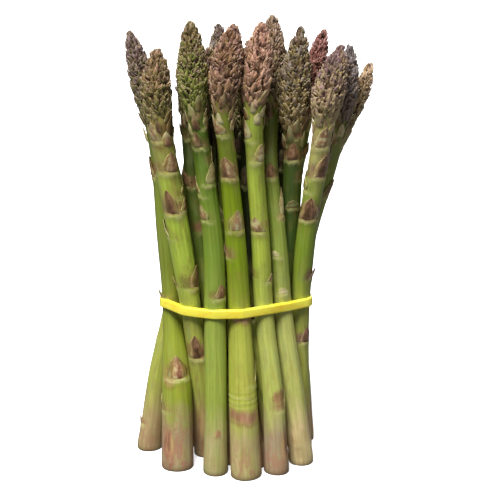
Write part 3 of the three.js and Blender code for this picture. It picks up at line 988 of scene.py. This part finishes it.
# Scale leaves that show on the front stalks
BRACTS = {
    "spear_01": [
        bract(47, 15, 12, 9.5, lift=0.6),
        bract(85.5, -62, 7, 6, lift=1.8, tone=0.7),
        bract(151, -85, 8, 5, lift=0.6),
    ],
    "spear_02": [
        bract(158, 33, 11, 10),
        bract(174, -33, 10, 7, lift=0.8, tone=0.7),
        bract(176, 62, 12, 6, lift=1.6, tone=0.0),
        bract(136, -6, 14, 7, lift=0.6, tone=0.3),
        bract(138, 66, 7, 5, lift=0.9),
        bract(96, 62, 13, 8, lift=0.9, tone=0.35),
        bract(96, -87, 6, 4, lift=0.9),
        bract(57, 3, 14, 8, lift=0.8, tone=0.3),
    ],
    "spear_03": [
        bract(171, -14, 9, 6, lift=0.9, tone=0.6),
        bract(181, 75, 8, 4.5, lift=0.9, tone=1.0),
        bract(152, 45, 12, 7, lift=1.3, tone=1.0),
        bract(133, -48, 9, 6, tone=0.8),
        bract(92, 45, 8, 6, lift=0.4, tone=0.4),
    ],
    "spear_04": [
        bract(178, -35, 9, 7, lift=0.7, tone=0.8),
        bract(155.5, -6, 12, 9, lift=0.6, tone=0.45),
        bract(128, 18, 12, 8, tone=0.7),
    ],
    "spear_05": [
        bract(174, -60, 11, 6, lift=0.8, tone=0.9),
        bract(163, 33, 10, 7, tone=0.7),
        bract(126, -14, 9, 7, lift=0.4, tone=0.8),
        bract(99, 58, 5, 4, lift=0.9, tone=0.8),
    ],
    "spear_06": [
        bract(152, -6, 8, 6, lift=0.4, tone=0.4),
        bract(132, 75, 15, 5, tone=1.0),
        bract(111, -18, 4, 4, lift=0.2, tone=1.0),
        bract(91, 15, 4, 5, lift=0.1, bulge=0.2, tone=1.0),
    ],
    "spear_07": [
        bract(169, 2, 11, 8, lift=0.7, tone=0.8),
        bract(153, 30, 13, 8, tone=0.3),
        bract(130, -16, 13, 10, tone=0.3),
        bract(97, 82, 7, 5, lift=1.4, tone=0.2),
        bract(62, 45, 9, 6, lift=0.6, tone=0.2),
    ],
    "spear_08": [bract(14, -80, 5, 5, lift=0.8)],
    "spear_12": [
        bract(173, 75, 13, 7, lift=1.5, tone=0.0),
        bract(161, -9, 10, 7, tone=0.4),
        bract(135, 9, 5, 6, lift=0.2, bulge=0.2, blush=0.3, tone=0.9),
    ],
}

# Leaves placed by chance stay behind this cosine of their turn, where the front doesn't show
FRONT_EDGE = -0.1


def build_spear(node, index):
    look = {**LOOK, **LOOKS.get(node, {})}
    course = Course(node, look["tip"])
    chance = np.random.default_rng(SEED + index)
    bracts = grown_bracts(course, chance, chance.uniform(0, 360))
    if node in BRACTS:
        bracts = [leaf for leaf in bracts if math.cos(leaf["turn"]) < FRONT_EDGE]
        bracts += BRACTS[node]
    skin = Skin()
    add_stalk(skin, course, bracts, look, chance)
    add_leaves(skin, course, bracts, BRACT_GRID, bract_outline)
    add_leaves(skin, course, neck_leaves(course, chance), NECK_LEAF_GRID, bract_outline)
    scales, buds = head_leaves(course, look, chance)
    add_leaves(skin, course, buds, BUD_GRID, bud_outline)
    add_leaves(skin, course, scales, SCALE_GRID, scale_outline)
    piece = skin.piece(node.replace("spear", "asparagus"), spear_material(node + "_skin", look))
    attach(piece, "root")
    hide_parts(node)


def hull(points):
    """The shortest loop round a set of points, in counterclockwise order."""
    ordered = points[np.lexsort((points[:, 1], points[:, 0]))]

    def half(sequence):
        chain = []
        for p in sequence:
            while len(chain) > 1:
                a, b = chain[-2], chain[-1]
                if (b[0] - a[0]) * (p[1] - a[1]) - (b[1] - a[1]) * (p[0] - a[0]) > 0:
                    break
                chain.pop()
            chain.append(p)
        return chain[:-1]

    return np.array(half(ordered) + half(ordered[::-1]))


def band_section():
    """The rounded rectangle of the band's section, as outward and upward distances."""
    out, up = BAND_THICKNESS / 2 - BAND_CORNER, BAND_WIDTH / 2 - BAND_CORNER
    corners = [(out, -up, -90), (out, up, 0), (-out, up, 90), (-out, -up, 180)]
    section = []
    for x, z, start in corners:
        for step in range(BAND_CORNER_STEPS):
            angle = math.radians(start + 90 * step / (BAND_CORNER_STEPS - 1))
            section.append((x + BAND_CORNER * math.cos(angle), z + BAND_CORNER * math.sin(angle)))
    return np.array(section)


def band_loop(node):
    """Evenly spaced points on the band's middle line, its outward directions and distances."""
    corners = np.array([v.co[:2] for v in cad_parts[node].data.vertices])
    loop = hull(corners)
    loop = np.concatenate([loop, loop[:1]])
    lengths = np.concatenate([[0], np.cumsum(np.hypot(*np.diff(loop, axis=0).T))])
    places = np.linspace(0, lengths[-1], BAND_SEGMENTS, endpoint=False)
    line = np.stack([np.interp(places, lengths, loop[:, axis]) for axis in (0, 1)], axis=1)
    step = BAND_TANGENT_STEPS
    tangent = np.roll(line, -step, axis=0) - np.roll(line, step, axis=0)
    tangent /= np.hypot(*tangent.T)[:, None]
    outward = np.stack([tangent[:, 1], -tangent[:, 0]], axis=1)
    return line - outward * BAND_THICKNESS / 2, outward, places, lengths[-1]


def build_band():
    node = "rubber_band"
    low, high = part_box(node)
    line, outward, places, length = band_loop(node)
    turn = places / length * math.tau
    sway = 0.16 * MM * np.sin(3 * turn + 1.0) + 0.1 * MM * np.sin(7 * turn)
    twist = (0.05 * np.sin(2 * turn + 0.7) + 0.04 * np.sin(5 * turn))[:, None]
    flat_out, flat_up = band_section().T
    out = flat_out * np.cos(twist) - flat_up * np.sin(twist)
    up = flat_out * np.sin(twist) + flat_up * np.cos(twist)
    x = line[:, 0, None] + outward[:, 0, None] * out
    y = line[:, 1, None] + outward[:, 1, None] * out
    z = (low.z + high.z) / 2 + sway[:, None] + up
    along = np.broadcast_to(places[:, None], out.shape)
    skin = Skin()
    points = np.stack([x, y, z], axis=-1).reshape(-1, 3)
    faces = tube_faces(*out.shape, closed=True)[:, [0, 3, 2, 1]]
    skin.add(points, [faces], np.stack([along, out, up], axis=-1).reshape(-1, 3))
    piece = skin.piece("yellow_band", band_material())
    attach(piece, "root")
    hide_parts(node)


def band_material():
    """Bright yellow rubber with fine marks across it and a slightly deeper tone in patches."""
    paint = Paint("yellow_rubber")
    lines = paint.noise(paint.grain((1, 0.3, 0.1)), 2600.0)
    clouds = paint.noise(paint.mark("grain", "Vector"), 120.0, 2.0)
    warm = paint.span(paint.streaky(2.5, 260.0, 2.0), 0.52, 0.7)
    colour = paint.mix(paint.span(clouds, 0.35, 0.65), srgb("#fff258"), srgb("#ffe645"))
    colour = paint.coat(colour, "#f7ec7a", paint.span(lines, 0.5, 0.8), 0.2)
    return paint.finish(
        Base_Color=paint.coat(colour, "#efbf22", warm, 0.3),
        Roughness=paint.span(lines, 0.3, 0.8, 0.36, 0.5),
        Normal=paint.bump(lines, 0.25, 0.2 * MM),
        Subsurface_Weight=0.35,
        Subsurface_Radius=(2.0 * MM, 1.5 * MM, 0.4 * MM),
        Subsurface_Scale=1.0,
    )


def floor_material():
    """Matte near-white that glows a little, so that it stays pale in the picture."""
    paint = Paint("pale_floor")
    wide = paint.span(paint.noise(paint.place(), 4.0, 2.0), 0.3, 0.7)
    return paint.finish(
        Base_Color=paint.mix(wide, (0.93, 0.93, 0.93, 1), (0.95, 0.95, 0.95, 1)),
        Roughness=0.9,
        Specular_IOR_Level=0.1,
        Emission_Color=(1, 1, 1, 1),
        Emission_Strength=FLOOR_GLOW,
    )


def build_floor():
    mesh = bpy.data.meshes.new("floor")
    side = FLOOR_HALF_SIDE
    corners = [(-side, -side, 0), (side, -side, 0), (side, side, 0), (-side, side, 0)]
    mesh.from_pydata(corners, [], [(0, 1, 2, 3)])
    mesh.materials.append(floor_material())
    floor = add_object("floor", mesh)
    floor.visible_diffuse = False
    floor.visible_glossy = False


def add_sun(name, turn, height, strength, softness):
    """A distant soft light. Turn is from the front, and height is above the horizon."""
    data = bpy.data.lights.new(name, "SUN")
    data.energy = strength
    data.angle = math.radians(softness)
    add_object(name, data).rotation_euler = (math.radians(90 - height), 0, math.radians(turn))


def light_scene():
    """White surroundings, dimmer as a light than they are seen, and two suns."""
    world = bpy.data.worlds.new("studio")
    bpy.context.scene.world = world
    world.use_nodes = True
    tree = world.node_tree
    sky = tree.nodes["Background"]
    sky.inputs["Color"].default_value = (1, 1, 1, 1)
    path = tree.nodes.new("ShaderNodeLightPath")
    gloss = tree.nodes.new("ShaderNodeMapRange")
    tree.links.new(path.outputs["Is Glossy Ray"], gloss.inputs["Value"])
    gloss.inputs["To Min"].default_value = SKY_LIGHT
    gloss.inputs["To Max"].default_value = SKY_GLOSS
    strength = tree.nodes.new("ShaderNodeMapRange")
    tree.links.new(path.outputs["Is Camera Ray"], strength.inputs["Value"])
    tree.links.new(gloss.outputs["Result"], strength.inputs["To Min"])
    strength.inputs["To Max"].default_value = SKY_SEEN
    tree.links.new(strength.outputs["Result"], sky.inputs["Strength"])
    add_sun("key", **KEY_LIGHT)
    add_sun("fill", **FILL_LIGHT)
    view = bpy.context.scene.view_settings
    view.view_transform = "Standard"
    view.look = "None"


def place_camera():
    data = bpy.data.cameras.new("camera")
    data.lens = CAMERA_LENS
    data.sensor_width = CAMERA_SENSOR
    data.clip_start, data.clip_end = CAMERA_CLIP
    camera = add_object("camera", data)
    pitch = math.radians(CAMERA_PITCH)
    back = Vector((0, -math.cos(pitch), math.sin(pitch))) * CAMERA_DISTANCE
    camera.location = Vector(CAMERA_TARGET) + back
    camera.rotation_euler = (math.radians(90 - CAMERA_PITCH), 0, 0)
    bpy.context.scene.camera = camera


spear_nodes = sorted(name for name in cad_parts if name.startswith("spear"))
for number, spear_node in enumerate(spear_nodes):
    build_spear(spear_node, number)
build_band()
build_floor()
light_scene()
place_camera()

bpy.context.view_layer.update()
